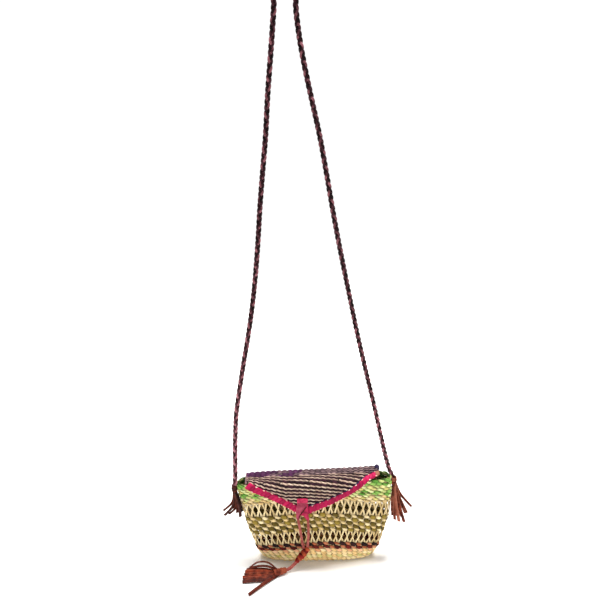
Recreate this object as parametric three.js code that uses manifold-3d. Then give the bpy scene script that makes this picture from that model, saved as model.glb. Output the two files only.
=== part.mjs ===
import * as THREE from 'three';
import { mergeVertices } from 'three/addons/utils/BufferGeometryUtils.js';
import Module from 'manifold-3d';

const wasm = await Module();
wasm.setup();

// A small woven straw shoulder bag with a braided strap. Sizes are in millimetres in the bag's own
// frame: x along the mouth, y to the back, z up from under the base. The part's origin is the top
// bend of the strap.
const hangX = -32;
const hangZ = 684;
const seatGap = 0.3;

// Basket: twined over pairs of warps, which cross in the two openwork bands.
const strawWall = 2.6;
const warpPairs = 54;
const crossingWidth = 2.6;
const outlinePower = 2.5;
const backCrownShare = 0.6;

// One row of the table is one height of the basket. leftZ and rightZ are the heights at the two ends,
// crown is the rise between them, and left, right, front and back are the reaches from the middle.
const levels = [
  { name: 'base', leftZ: 0, rightZ: 0, crown: 0, left: 60, right: 71, front: 14, back: 14 },
  { name: 'turn', leftZ: 5, rightZ: 4.5, crown: 1.5, left: 66, right: 76, front: 15.3, back: 15.3 },
  { name: 'darkBottom', leftZ: 13, rightZ: 14, crown: 7, left: 71.5, right: 81.5, front: 15.7, back: 15.7 },
  { name: 'lowerOpen', leftZ: 20, rightZ: 22, crown: 9.5, left: 74.5, right: 85, front: 16, back: 16 },
  { name: 'olive', leftZ: 36.5, rightZ: 37.5, crown: 11, left: 79.5, right: 88.5, front: 16.5, back: 16.5 },
  { name: 'upperOpen', leftZ: 63, rightZ: 61, crown: 11, left: 87.2, right: 94.2, front: 17, back: 16.5 },
  { name: 'natural', leftZ: 79.5, rightZ: 80, crown: 12.5, left: 88.8, right: 95.8, front: 16.6, back: 15.6 },
  { name: 'slot', leftZ: 98, rightZ: 101.5, crown: 9, left: 92.6, right: 95.8, front: 15.8, back: 13.4 },
  { name: 'green', leftZ: 103, rightZ: 107, crown: 7.5, left: 93.6, right: 95.3, front: 15.4, back: 12.7 },
  { name: 'rim', leftZ: 108.5, rightZ: 114.5, crown: 5.5, left: 94.7, right: 94.6, front: 15, back: 12 },
];
const openBands = ['lowerOpen', 'upperOpen'];
const slotBand = 'slot';

// Flap: a woven sheet from the back rim over the mouth and down the front.
const flapThickness = 2.2;
const flapHemShare = 0.55;
const edgingThickness = 2.8;
const edgingDrop = 7.2;
const edgingSeam = 0.8;
const edgingRows = 2;
const flapRows = 9;
const hingeTurn = 2.5;
const flapColumns = { left: 12, right: 16 };
const flapLeft = -84;
const flapTip = -14;
const flapRight = 81;

// Highest line of the flap with the reach of its hem at the back, and how far its inner face stands
// off the basket.
const flapRidge = [
  { x: flapLeft, y: 6, z: 114.3, hemY: 9 },
  { x: 0, y: 5.5, z: 117, hemY: 12.6 },
  { x: flapRight, y: 8.5, z: 121.5, hemY: 12 },
];
const standOff = { back: 0.6, rim: 1.2, middle: 2, low: 5.4 };

// Lower edge of the flap: drop is measured along the flap from the front rim, negative over the mouth.
const flapEdge = [
  { x: flapLeft, drop: 3 },
  { x: -54, drop: 18 },
  { x: flapTip, drop: 44 },
  { x: 18.5, drop: 30.5 },
  { x: 41, drop: 17.5 },
  { x: 63, drop: 1 },
  { x: flapRight, drop: -9 },
];

// Closure: a lace looped round the flap's tip, gathered in a knot, with a tail to the front tassel.
const laceDiameter = 3.2;
const laceSides = 8;
const laceSteps = 6;
const loop = { topDrop: 21, belowTip: 3.2, width: 15, barHeight: 5, thickness: 2.6 };
const loopFold = { width: 6.6, apart: 4.2, crossed: 3, below: 1, bulge: 0.4 };
const loopBack = { width: 7.5, rise: 9, thickness: 1.4 };
const loopBridge = { width: 12, height: 3 };
const lowerKnot = { at: [-15.4, -24.2, 16], width: 9.5, height: 16 };
const laceLegs = {
  closure_leg_left: [[-18.4, -24.6, 69.8], [-18.4, -24.5, 56], [-16.6, -23.8, 39], [-14.6, -23.3, 25.2]],
  closure_leg_right: [[-9.2, -24.6, 69.8], [-7.6, -24.5, 56], [-8.6, -23.6, 39], [-10.9, -22.9, 24.2]],
};
const laceTail = [
  [-19.5, -27.5, 8], [-23.5, -29.5, 5.4], [-28, -31.5, 3.6], [-32, -33.2, 3.4], [-36, -34.8, 3.6],
];

// Tassels: flat leather strips fused to a wrapped head. arch lifts the middle of a strip.
const stripWidth = 2.8;
const stripThickness = 1.2;
const stripRows = 5;
const headSides = 12;
const frontHead = { from: [-36.4, -35, 4.1], to: [-50.5, -40.2, 4.1], radius: 4 };
const frontRoot = { inset: 0.3, spread: 0.12, reach: 2, meanArch: 4 };
const frontBends = [
  { share: 0.35, lift: 0.6 },
  { share: 0.7, lift: 0.65 },
];
const frontStrips = [
  { x: -84, y: -36, z: 0.7, arch: 5 },
  { x: -86, y: -40, z: 0.7, arch: 2.5 },
  { x: -85, y: -44.5, z: 0.7, arch: 4.5 },
  { x: -87, y: -49, z: 0.7, arch: 2 },
  { x: -84, y: -53, z: 0.7, arch: 3 },
  { x: -82, y: -56, z: 0.7, arch: 1 },
  { x: -84.5, y: -33, z: 1.6, arch: 6.5 },
  { x: -81, y: -33, z: 3, arch: 12 },
  { x: -77.5, y: -75.5, z: 0.7, arch: 1.5 },
];
const thong = { width: 3.2, height: 2.4, inside: 13 };
const thongStop = { length: 4, side: 6 };
const tuft = { rootShare: 0.06, bendShare: 0.4, bendOut: 0.28, lean: 1, facing: [1, -0.6, 0] };
const strapKnotRadius = 4.4;
const strapKnots = {
  strap_tassel_left: {
    at: [-97.3, -3.5, 102], end: 'left',
    strips: [
      { x: -110, y: -5, z: 71 },
      { x: -105, y: -7, z: 66 },
      { x: -99, y: -8, z: 65.5 },
      { x: -96.5, y: 2, z: 66 },
      { x: -91.5, y: -14, z: 64 },
      { x: -95.5, y: -12, z: 69 },
    ],
  },
  strap_tassel_right: {
    at: [99.6, 2.5, 105.5], end: 'right',
    strips: [
      { x: 121, y: -2, z: 72.5 },
      { x: 113.5, y: -4, z: 63 },
      { x: 115, y: 3, z: 56 },
      { x: 113, y: -7, z: 51.5 },
      { x: 108.5, y: 5, z: 52 },
      { x: 106, y: -8, z: 53 },
      { x: 101.5, y: -6.5, z: 55.5 },
      { x: 102.5, y: 3, z: 57 },
    ],
  },
};

// Strap: a braided cord from knot to knot, over its top bend. Points are x, y and z.
const strapDiameter = 5.4;
const strapSides = 8;
const strapSteps = 72;
const strapRoute = [
  [-97, -4, 107], [-96.4, -3, 116], [-96, -1, 133], [-95.3, 0, 161], [-92.9, 0, 201.5], [-89.1, 0, 228],
  [-82.8, 0, 266.5], [-78.3, 0, 291.5], [-72.4, 0, 328], [-67.8, 0, 364], [-63.4, 0, 410], [-60.1, 0, 454],
  [-56, 0, 497], [-53, 0, 528], [-50.3, 0, 568], [-46.8, 0, 607], [-44.4, 0, 635], [-43, 0, 655],
  [-43.6, 0, 668], [-39.6, 0, 680], [hangX, 0, hangZ], [-24.4, 0, 680], [-20.4, 0, 668], [-21.6, 0, 655],
  [-18.3, 0, 625.5], [-13, 0, 597], [-6.5, 0, 568], [2.9, 0, 527.5], [10.9, 0, 486], [18.9, 0, 442.5],
  [27.8, 0, 398], [37.8, 0, 351], [48.4, 0, 302.5], [60.5, 0, 252], [70.2, 0, 212.5], [79.7, 1, 172],
  [86.7, 3, 144], [93.2, 5, 122], [97.7, 4.4, 110.8],
];

// Outlines of the turned bodies, from below up: radius r and height h, each as a share of its half.
const profiles = {
  lowerKnot: [
    { r: 0, h: -1 }, { r: 0.55, h: -1 }, { r: 0.8, h: -0.5 }, { r: 1, h: -0.25 },
    { r: 1, h: 0.2 }, { r: 0.85, h: 0.5 }, { r: 0.7, h: 1 }, { r: 0, h: 1 },
  ],
  frontHead: [
    { r: 0, h: -1 }, { r: 0.7, h: -1 }, { r: 1, h: -0.7 }, { r: 0.92, h: 0 },
    { r: 1, h: 0.6 }, { r: 0.95, h: 1 }, { r: 0, h: 1 },
  ],
  strapKnot: [
    { r: 0, h: -1 }, { r: 0.6, h: -1 }, { r: 1, h: -0.4 },
    { r: 1, h: 0.3 }, { r: 0.7, h: 1 }, { r: 0, h: 1 },
  ],
};
const boxCorner = 0.35;

const colours = {
  straw: { color: 0xd9c48a, roughness: 0.75 },
  flapStraw: { color: 0x8a6a78, roughness: 0.75 },
  raffia: { color: 0xc8205f, roughness: 0.7 },
  pinkLeather: { color: 0xb8566a, roughness: 0.6 },
  knotLeather: { color: 0xa84a2c, roughness: 0.6 },
  tasselLeather: { color: 0x7c3a26, roughness: 0.6 },
  strapLeather: { color: 0x5a2a30, roughness: 0.55 },
};

const vector = (point) => new THREE.Vector3(...point);

// A closed sheet: triangles join points that each have an outer and an inner place, and every free
// edge gets a wall between the two.
function sheet(points, triangles) {
  const positions = [];
  const put = (...corners) => corners.forEach((corner) => positions.push(corner.x, corner.y, corner.z));
  const sides = (triangle) => triangle.map((a, i) => [a, triangle[(i + 1) % 3]]);
  const edges = triangles.flatMap(sides);
  const taken = new Set(edges.map(([a, b]) => `${a} ${b}`));
  for (const [a, b, c] of triangles) {
    put(points[a].outer, points[b].outer, points[c].outer);
    put(points[c].inner, points[b].inner, points[a].inner);
  }
  for (const [a, b] of edges.filter(([a, b]) => !taken.has(`${b} ${a}`))) {
    put(points[b].outer, points[a].outer, points[a].inner);
    put(points[b].outer, points[a].inner, points[b].inner);
  }
  const geometry = new THREE.BufferGeometry();
  geometry.setAttribute('position', new THREE.Float32BufferAttribute(positions, 3));
  return mergeVertices(geometry);
}

// Two triangles for a quad, leaving out one that has shrunk to a line.
function quad(a, b, c, d) {
  return [[a, b, c], [a, c, d]].filter((triangle) => new Set(triangle).size === 3);
}

// A sheet over a grid of columns and rows; place gives the outer and inner point of each crossing.
function gridSheet(columns, rows, place) {
  const points = [];
  const triangles = [];
  for (let i = 0; i <= columns; i += 1) {
    for (let j = 0; j <= rows; j += 1) points.push(place(i, j));
  }
  const index = (i, j) => i * (rows + 1) + j;
  for (let i = 0; i < columns; i += 1) {
    for (let j = 0; j < rows; j += 1) {
      triangles.push(...quad(index(i, j), index(i + 1, j), index(i + 1, j + 1), index(i, j + 1)));
    }
  }
  return sheet(points, triangles);
}

function solid(geometry) {
  const plain = geometry.clone();
  plain.deleteAttribute('normal');
  plain.deleteAttribute('uv');
  const merged = mergeVertices(plain);
  const vertProperties = new Float32Array(merged.attributes.position.array);
  const triVerts = new Uint32Array(merged.index.array);
  return new wasm.Manifold(new wasm.Mesh({ numProp: 3, vertProperties, triVerts }));
}

// Joins overlapping closed geometries into one.
function fuse(geometries) {
  const joined = geometries.map(solid).reduce((sum, next) => sum.add(next));
  const mesh = joined.getMesh();
  const geometry = new THREE.BufferGeometry();
  geometry.setAttribute('position', new THREE.Float32BufferAttribute(mesh.vertProperties, 3));
  geometry.setIndex(new THREE.Uint32BufferAttribute(mesh.triVerts, 1));
  return geometry;
}

// A point of one height of the basket at a given x; side is -1 at the front and 1 at the back.
function rowPoint(level, x, side, inset = 0) {
  const left = -level.left + inset;
  const right = level.right - inset;
  const along = (2 * x - left - right) / (right - left);
  const depth = (side < 0 ? level.front : level.back) - inset;
  const bulge = Math.max(0, 1 - Math.abs(along) ** outlinePower) ** (1 / outlinePower);
  const crown = level.crown * (side < 0 ? 1 : backCrownShare) * (1 - along * along);
  const floor = level.name === 'base' && inset > 0 ? inset : 0;
  const z = THREE.MathUtils.lerp(level.leftZ, level.rightZ, (along + 1) / 2) + crown + floor;
  return new THREE.Vector3(x, side * depth * bulge, z);
}

// One side of one height, left to right at the front and right to left at the back.
class HalfRow extends THREE.Curve {
  constructor(level, side, inset) {
    super();
    Object.assign(this, { level, side, inset });
  }

  getPoint(t) {
    const turn = Math.cos(Math.PI * t);
    const along = this.side * Math.sign(turn) * Math.abs(turn) ** (2 / outlinePower);
    const left = -this.level.left + this.inset;
    const right = this.level.right - this.inset;
    return rowPoint(this.level, THREE.MathUtils.lerp(left, right, (along + 1) / 2), this.side, this.inset);
  }
}

function between(low, high, share) {
  const mixed = { name: 'between' };
  for (const key of ['leftZ', 'rightZ', 'crown', 'left', 'right', 'front', 'back']) {
    mixed[key] = THREE.MathUtils.lerp(low[key], high[key], share);
  }
  return mixed;
}

function bagBody() {
  const halfSteps = warpPairs;
  const allSteps = 2 * warpPairs;
  const points = [];
  const triangles = [];

  const addRow = (level, steps) => {
    const halves = [-1, 1].map((side) => ({
      outer: new HalfRow(level, side, 0),
      inner: new HalfRow(level, side, strawWall),
    }));
    return steps.map((step) => {
      const around = (step + allSteps) % allSteps;
      const half = around < halfSteps ? 0 : 1;
      const share = around / halfSteps - half;
      const { outer, inner } = halves[half];
      return points.push({ outer: outer.getPointAt(share), inner: inner.getPointAt(share) }) - 1;
    });
  };

  const everyStep = Array.from({ length: allSteps }, (_, step) => step);
  const rows = levels.map((level) => addRow(level, everyStep));
  const at = (row, step) => rows[row][(step + allSteps) % allSteps];

  for (let i = 0; i < halfSteps; i += 1) {
    triangles.push(...quad(at(0, i), at(0, -i), at(0, -i - 1), at(0, i + 1)));
  }

  const plainBand = (row, skipped) => {
    for (const step of everyStep.filter((each) => !skipped.includes(each))) {
      triangles.push(...quad(at(row, step), at(row, step + 1), at(row + 1, step + 1), at(row + 1, step)));
    }
  };

  // Warps cross at each even step, which leaves one diamond gap between neighbours.
  const openBand = (row) => {
    const middle = between(levels[row], levels[row + 1], 0.5);
    const stepLength = new HalfRow(middle, -1, 0).getLength() / halfSteps;
    const halfCrossing = crossingWidth / 2 / stepLength;
    const crossings = everyStep.filter((step) => step % 2 === 0);
    const lefts = addRow(middle, crossings.map((step) => step - halfCrossing));
    const rights = addRow(middle, crossings.map((step) => step + halfCrossing));
    crossings.forEach((step, i) => {
      const [left, right] = [lefts[i], rights[i]];
      const top = [-1, 0, 1].map((offset) => at(row + 1, step + offset));
      const bottom = [-1, 0, 1].map((offset) => at(row, step + offset));
      triangles.push([top[0], left, top[1]], [left, right, top[1]], [right, top[2], top[1]]);
      triangles.push([left, bottom[0], bottom[1]], [left, bottom[1], right], [right, bottom[1], bottom[2]]);
    });
  };

  // The strap's thongs pass through a slot at each end.
  const slotSteps = [allSteps - 1, 0, halfSteps - 1, halfSteps];
  for (let row = 0; row < levels.length - 1; row += 1) {
    const { name } = levels[row];
    if (openBands.includes(name)) openBand(row);
    else plainBand(row, name === slotBand ? slotSteps : []);
  }
  return sheet(points, triangles);
}

// Value of a table column at x, along straight lines between rows.
function lookUp(table, column, x) {
  const last = table.length - 2;
  const i = Math.min(last, Math.max(0, table.findLastIndex((row) => row.x <= x)));
  const share = (x - table[i].x) / (table[i + 1].x - table[i].x);
  return THREE.MathUtils.lerp(table[i][column], table[i + 1][column], share);
}

const levelNamed = (name) => levels.find((level) => level.name === name);

// The flap's inner face along one x: up the back wall, over the ridge and the front rim, then down.
function flapLine(x) {
  const rim = levelNamed('rim');
  const hem = between(levelNamed('green'), rim, 1 - flapHemShare);
  const away = (level, side, distance) => {
    const point = rowPoint(level, x, side);
    return point.setY(point.y + side * distance);
  };
  const backEdge = (level) => {
    const point = away(level, 1, standOff.back);
    return point.setY(Math.max(point.y, lookUp(flapRidge, 'hemY', x)));
  };
  const lift = new THREE.Vector3(0, 0, standOff.rim);
  const frontRim = away(rim, -1, standOff.rim).add(lift);
  const backRim = backEdge(rim).add(lift);
  const ridge = new THREE.Vector3(x, lookUp(flapRidge, 'y', x), lookUp(flapRidge, 'z', x));
  const middle = away(levelNamed('natural'), -1, standOff.middle);
  const low = away(between(levelNamed('olive'), levelNamed('upperOpen'), 0.5), -1, standOff.low);
  const knots = [backEdge(hem), backRim, ridge, frontRim, middle, low];
  const curve = new THREE.CatmullRomCurve3(knots);
  const lengths = curve.getLengths();
  const lengthTo = (knot) => {
    const share = knots.indexOf(knot) / (knots.length - 1);
    return lengths[Math.round((lengths.length - 1) * share)];
  };
  return { curve, hemLength: lengthTo(backRim), rimLength: lengthTo(frontRim), length: curve.getLength() };
}

// A point of the flap, at a drop from the front rim, with the outer face one thickness away.
function flapPoint(line, drop, thickness) {
  const share = THREE.MathUtils.clamp((line.rimLength + drop) / line.length, 0, 1);
  const inner = line.curve.getPointAt(share);
  const along = line.curve.getTangentAt(share);
  const out = new THREE.Vector3(1, 0, 0).cross(along).negate().normalize();
  return { outer: inner.clone().addScaledVector(out, thickness), inner };
}

// Columns of the flap: even steps on each side of the tip.
function flapX(i) {
  if (i <= flapColumns.left) return THREE.MathUtils.lerp(flapLeft, flapTip, i / flapColumns.left);
  return THREE.MathUtils.lerp(flapTip, flapRight, (i - flapColumns.left) / flapColumns.right);
}
const flapColumnCount = flapColumns.left + flapColumns.right;
const flapLines = Array.from({ length: flapColumnCount + 1 }, (_, i) => flapLine(flapX(i)));

// Rows of the flap run from its lower edge to the turn at the back rim, with two more for the hem.
function flap() {
  return gridSheet(flapColumnCount, flapRows + 2, (i, j) => {
    const line = flapLines[i];
    const end = lookUp(flapEdge, 'drop', flapX(i)) - edgingDrop - edgingSeam;
    const hinge = line.hemLength - line.rimLength;
    const hemRows = [hinge - hingeTurn / 2, -line.rimLength];
    const plainRow = THREE.MathUtils.lerp(end, hinge + hingeTurn, j / flapRows);
    return flapPoint(line, j <= flapRows ? plainRow : hemRows[j - flapRows - 1], flapThickness);
  });
}

function flapEdging() {
  return gridSheet(flapColumnCount, edgingRows, (i, j) => {
    const end = lookUp(flapEdge, 'drop', flapX(i));
    return flapPoint(flapLines[i], end - edgingDrop * j / edgingRows, edgingThickness);
  });
}

// A flat leather strip along a few points, wide along the given direction.
function strip(points, width, thickness, wide) {
  const curve = new THREE.CatmullRomCurve3(points);
  return gridSheet(1, stripRows, (i, j) => {
    const along = curve.getTangentAt(j / stripRows);
    const across = wide.clone().addScaledVector(along, -wide.dot(along)).normalize();
    const out = across.clone().cross(along).multiplyScalar(thickness / 2);
    const middle = curve.getPointAt(j / stripRows).addScaledVector(across, (i - 0.5) * width);
    return { outer: middle.clone().add(out), inner: middle.clone().sub(out) };
  });
}

function roundedBox(width, depth, height) {
  const corner = Math.min(width, height) * boxCorner;
  const [halfWidth, halfHeight] = [width / 2 - corner, height / 2 - corner];
  const shape = new THREE.Shape();
  shape.absarc(halfWidth, halfHeight, corner, 0, Math.PI / 2);
  shape.absarc(-halfWidth, halfHeight, corner, Math.PI / 2, Math.PI);
  shape.absarc(-halfWidth, -halfHeight, corner, Math.PI, 3 * Math.PI / 2);
  shape.absarc(halfWidth, -halfHeight, corner, 3 * Math.PI / 2, 2 * Math.PI);
  const box = new THREE.ExtrudeGeometry(shape, { depth, bevelEnabled: false, curveSegments: 3 });
  return box.translate(0, 0, -depth / 2).rotateX(Math.PI / 2);
}

// The lace's loop round the tip: a bar across the front, two folds that cross below it, and a flat
// strip behind the flap, joined under the tip.
function closureKnot() {
  const line = flapLines[flapColumns.left];
  const tipDrop = lookUp(flapEdge, 'drop', flapTip);
  const clear = 1.5 * seatGap;
  const front = (drop) => flapPoint(line, drop, edgingThickness + clear + loop.thickness / 2).outer;
  const behind = (drop) => flapPoint(line, drop, -clear - loopBack.thickness / 2).outer;
  const wide = new THREE.Vector3(1, 0, 0);
  const top = front(loop.topDrop);
  const under = front(tipDrop + loop.belowTip);
  const bar = roundedBox(loop.width, loop.thickness, loop.barHeight).translate(...top.toArray());
  const folds = [-1, 1].map((side) => {
    const start = top.clone().add(new THREE.Vector3(side * loopFold.apart, 0, -loopFold.below));
    const end = under.clone().add(new THREE.Vector3(-side * loopFold.crossed, 0, 0));
    const middle = start.clone().lerp(end, 0.5).add(new THREE.Vector3(0, -loopFold.bulge, 0));
    return strip([start, middle, end], loopFold.width, loop.thickness, wide);
  });
  const back = [tipDrop - loopBack.rise, tipDrop, tipDrop + loop.belowTip].map(behind);
  const backStrip = strip(back, loopBack.width, loopBack.thickness, wide);
  const foot = back.at(-1);
  const bridge = roundedBox(loopBridge.width, foot.y - under.y + loopBack.thickness, loopBridge.height);
  bridge.translate(flapTip, (foot.y + under.y) / 2, under.z);
  return fuse([bar, ...folds, backStrip, bridge]);
}

// A round cord along points, as a tube with closed ends.
function cord(points, diameter, sides, steps) {
  const corners = Array.from({ length: sides }, (_, i) => 2 * Math.PI * i / sides);
  const ring = corners.map((angle) => new THREE.Vector2(Math.cos(angle), Math.sin(angle)));
  const shape = new THREE.Shape(ring.map((corner) => corner.multiplyScalar(diameter / 2)));
  const extrudePath = new THREE.CatmullRomCurve3(points.map(vector));
  return new THREE.ExtrudeGeometry(shape, { steps, extrudePath });
}

// A turned body about an axis through its middle.
function turned(profile, radius, length, middle, axis) {
  const outline = profile.map(({ r, h }) => new THREE.Vector2(r * radius, h * length / 2));
  const direction = axis.clone().normalize();
  const turn = new THREE.Quaternion().setFromUnitVectors(new THREE.Vector3(0, 1, 0), direction);
  return new THREE.LatheGeometry(outline, headSides).applyQuaternion(turn).translate(...middle.toArray());
}

function closureLowerKnot() {
  const { at, width, height } = lowerKnot;
  const [leftEnd, rightEnd] = Object.values(laceLegs).map((points) => vector(points.at(-1)));
  const axis = leftEnd.lerp(rightEnd, 0.5).sub(vector(laceTail[0]));
  return turned(profiles.lowerKnot, width / 2, height, vector(at), axis);
}

function frontTassel() {
  const from = vector(frontHead.from);
  const to = vector(frontHead.to);
  const axis = to.clone().sub(from);
  const middle = from.clone().lerp(to, 0.5);
  const head = turned(profiles.frontHead, frontHead.radius, axis.length(), middle, axis);
  const { inset, spread, reach, meanArch } = frontRoot;
  const strips = frontStrips.map(({ x, y, z, arch }) => {
    const end = new THREE.Vector3(x, y, z);
    const start = to.clone().lerp(from, inset);
    start.y += THREE.MathUtils.clamp((y - to.y) * spread, -reach, reach);
    start.z += THREE.MathUtils.clamp(arch - meanArch, -reach, reach);
    const bends = frontBends.map(({ share, lift }) => {
      const bend = start.clone().lerp(end, share);
      return bend.setZ(bend.z + arch * lift);
    });
    return strip([start, ...bends, end], stripWidth, stripThickness, new THREE.Vector3(0, 1, 0));
  });
  return fuse([head, ...strips]);
}

// The strap's end: a knot outside the wall, a thong through the slot to a knot inside, and strips.
function strapTassel({ at, end, strips }) {
  const middle = vector(at);
  const up = new THREE.Vector3(0, 0, 1);
  const knot = turned(profiles.strapKnot, strapKnotRadius, 2 * strapKnotRadius, middle, up);
  const neck = middle.clone().add(new THREE.Vector3(0, -tuft.lean, -strapKnotRadius));
  const tails = strips.map(({ x, y, z }) => {
    const tip = new THREE.Vector3(x, y, z);
    const root = middle.clone().lerp(tip, tuft.rootShare);
    const bend = neck.clone().lerp(tip, tuft.bendShare);
    bend.x = THREE.MathUtils.lerp(neck.x, x, tuft.bendOut);
    return strip([root, bend, tip], stripWidth, stripThickness, vector(tuft.facing));
  });
  const [slotLow, slotHigh] = [levelNamed(slotBand), levelNamed('green')];
  const slotZ = (slotLow[`${end}Z`] + slotHigh[`${end}Z`]) / 2;
  const insideX = (end === 'left' ? -1 : 1) * (slotLow[end] - thong.inside);
  const through = roundedBox(Math.abs(insideX - middle.x), thong.width, thong.height);
  through.translate((insideX + middle.x) / 2, 0, slotZ);
  const stop = roundedBox(thongStop.length, thongStop.side, thongStop.side).translate(insideX, 0, slotZ);
  return fuse([knot, ...tails, through, stop]);
}

function addPiece(group, name, geometry, { color, roughness }) {
  const material = new THREE.MeshStandardMaterial({ color, roughness, metalness: 0 });
  const mesh = new THREE.Mesh(geometry, material);
  mesh.name = name;
  group.add(mesh);
}

const bag = new THREE.Group();
bag.position.set(-hangX, 0, -hangZ);
addPiece(bag, 'bag_body', bagBody(), colours.straw);
addPiece(bag, 'flap', flap(), colours.flapStraw);
addPiece(bag, 'flap_edging', flapEdging(), colours.raffia);
addPiece(bag, 'closure_knot', closureKnot(), colours.pinkLeather);
for (const [name, points] of Object.entries(laceLegs)) {
  addPiece(bag, name, cord(points, laceDiameter, laceSides, laceSteps), colours.pinkLeather);
}
addPiece(bag, 'closure_lower_knot', closureLowerKnot(), colours.knotLeather);
addPiece(bag, 'closure_tail', cord(laceTail, laceDiameter, laceSides, laceSteps), colours.pinkLeather);
addPiece(bag, 'front_tassel', frontTassel(), colours.tasselLeather);
for (const [name, knot] of Object.entries(strapKnots)) {
  addPiece(bag, name, strapTassel(knot), colours.tasselLeather);
}
addPiece(bag, 'strap', cord(strapRoute, strapDiameter, strapSides, strapSteps), colours.strapLeather);

const part = new THREE.Group();
part.add(bag);
export default part;
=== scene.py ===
import math

import bmesh
import bpy
import numpy as np
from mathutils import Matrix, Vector


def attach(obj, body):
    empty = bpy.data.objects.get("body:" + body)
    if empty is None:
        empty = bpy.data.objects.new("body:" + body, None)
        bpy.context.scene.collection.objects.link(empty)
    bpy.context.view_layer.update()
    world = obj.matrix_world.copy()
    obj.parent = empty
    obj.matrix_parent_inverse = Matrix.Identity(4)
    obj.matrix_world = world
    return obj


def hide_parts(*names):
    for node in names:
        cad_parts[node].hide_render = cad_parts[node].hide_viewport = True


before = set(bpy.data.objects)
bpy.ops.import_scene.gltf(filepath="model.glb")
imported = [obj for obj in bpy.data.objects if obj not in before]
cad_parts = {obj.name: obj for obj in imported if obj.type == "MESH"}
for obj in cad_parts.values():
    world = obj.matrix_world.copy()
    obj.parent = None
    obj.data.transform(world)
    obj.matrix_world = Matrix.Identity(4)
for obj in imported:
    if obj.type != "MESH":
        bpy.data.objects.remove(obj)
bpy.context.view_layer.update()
bpy.ops.object.select_all(action="DESELECT")
scene = bpy.context.scene
draw = np.random.default_rng(27)  # seeded, so each run weaves the same bag
print("frame loaded with", len(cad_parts), "nodes")

# Lengths below are millimetres in the bag's own frame: x along the mouth, y to the back, z up
# from under the base. place() moves them to the shared frame, in metres from the strap's top bend.
bag = {"hangX": -32.0, "hangZ": 684.0}


def place(points):
    return (np.asarray(points, float) - (bag["hangX"], 0.0, bag["hangZ"])) / 1000


def unit(vectors):
    return vectors / np.linalg.norm(vectors, axis=-1, keepdims=True)


def heading(line, closed=False):
    ends = np.roll(line, -1, axis=0) - np.roll(line, 1, axis=0) if closed else np.gradient(line, axis=0)
    return unit(ends)


def walkAlong(line):
    return np.concatenate([[0.0], np.cumsum(np.linalg.norm(np.diff(line, axis=0), axis=1))])


def pointsAt(steps, walk, line):
    return np.stack([np.interp(steps, walk, column) for column in line.T], axis=1)


def lookUp(table, at):
    return np.interp(at, *np.transpose(table))


def signedPower(wave, power):
    return np.sign(wave) * np.abs(wave) ** power


# A point between the rows and columns of a grid of points.
def gridAt(grid, row, column):
    row, column = [np.clip(at, 0, size - 1.001) for at, size in zip((row, column), grid.shape)]
    i, j = np.floor(row).astype(int), np.floor(column).astype(int)
    up, aside = (row - i)[:, None], (column - j)[:, None]
    near = grid[i, j] * (1 - aside) + grid[i, j + 1] * aside
    far = grid[i + 1, j] * (1 - aside) + grid[i + 1, j + 1] * aside
    return near * (1 - up) + far * up


def shadeIn(low, high):
    return low + (high - low) * draw.random()


def onlyActive(obj):
    bpy.ops.object.select_all(action="DESELECT")
    obj.select_set(True)
    bpy.context.view_layer.objects.active = obj


# Camera, floor and light
studio = {
    "lens": 45.0,
    "sensor": 36.0,
    "cameraAt": (-0.0060445, -0.789145, -0.051051),
    "cameraTurn": (70.0, 0.0, -1.5),
    "floorSize": 2.3,
    "floorColour": "#FCFBF8",
    "floorRoughness": 0.9,
    "floorGloss": 0.1,
    "skyColour": "#FFFFFF",
    "skySeen": 1.05,
    "skyLight": 0.25,
    "lookAt": (0.03, 0.0, -0.62),
    "lights": [
        {"name": "leftSoftbox", "at": (-0.6, 0.22, 1.15), "size": 0.45, "watts": 31.0},
        {"name": "rightSoftbox", "at": (0.8, 0.24, 1.1), "size": 0.45, "watts": 43.0},
        {"name": "frontFill", "at": (-0.25, -1.5, -0.2), "size": 0.9, "watts": 8.0},
    ],
}


def linear(hexColour):
    parts = [int(hexColour[i:i + 2], 16) / 255 for i in (1, 3, 5)]
    return (*[c / 12.92 if c <= 0.04045 else ((c + 0.055) / 1.055) ** 2.4 for c in parts], 1.0)


def addNode(tree, kind, inputs, **settings):
    node = tree.nodes.new("ShaderNode" + kind)
    for name, value in settings.items():
        setattr(node, name, value)
    for name, value in inputs.items():
        if isinstance(value, bpy.types.NodeSocket):
            tree.links.new(value, node.inputs[name])
        else:
            node.inputs[name].default_value = value
    return node


def newFinish(name, roughness, gloss):
    material = bpy.data.materials.new(name)
    material.use_nodes = True
    shader = material.node_tree.nodes["Principled BSDF"]
    shader.inputs["Roughness"].default_value = roughness
    shader.inputs["Specular IOR Level"].default_value = gloss
    return material, shader


# Each layer covers the colours below it by its own factor; the bump gives the surface its relief.
def layerColours(tree, shader, ground, layers, bump):
    for factor, colour in layers:
        mix = addNode(tree, "Mix", {"Factor": factor, 6: ground, 7: colour}, data_type="RGBA")
        ground = mix.outputs[2]
    tree.links.new(ground, shader.inputs["Base Color"])
    tree.links.new(bump.outputs["Normal"], shader.inputs["Normal"])


bpy.ops.object.camera_add(
    location=studio["cameraAt"], rotation=[math.radians(a) for a in studio["cameraTurn"]])
scene.camera = bpy.context.object
scene.camera.name = "photoCamera"
scene.camera.data.lens = studio["lens"]
scene.camera.data.sensor_width = studio["sensor"]

bpy.ops.mesh.primitive_plane_add(size=studio["floorSize"], location=(0, 0, -bag["hangZ"] / 1000))
floor = bpy.context.object
floor.name = "paleFloor"
floorPaper, floorShader = newFinish("paleBackdropPaper", studio["floorRoughness"], studio["floorGloss"])
floorShader.inputs["Base Color"].default_value = linear(studio["floorColour"])
floor.data.materials.append(floorPaper)

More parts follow.
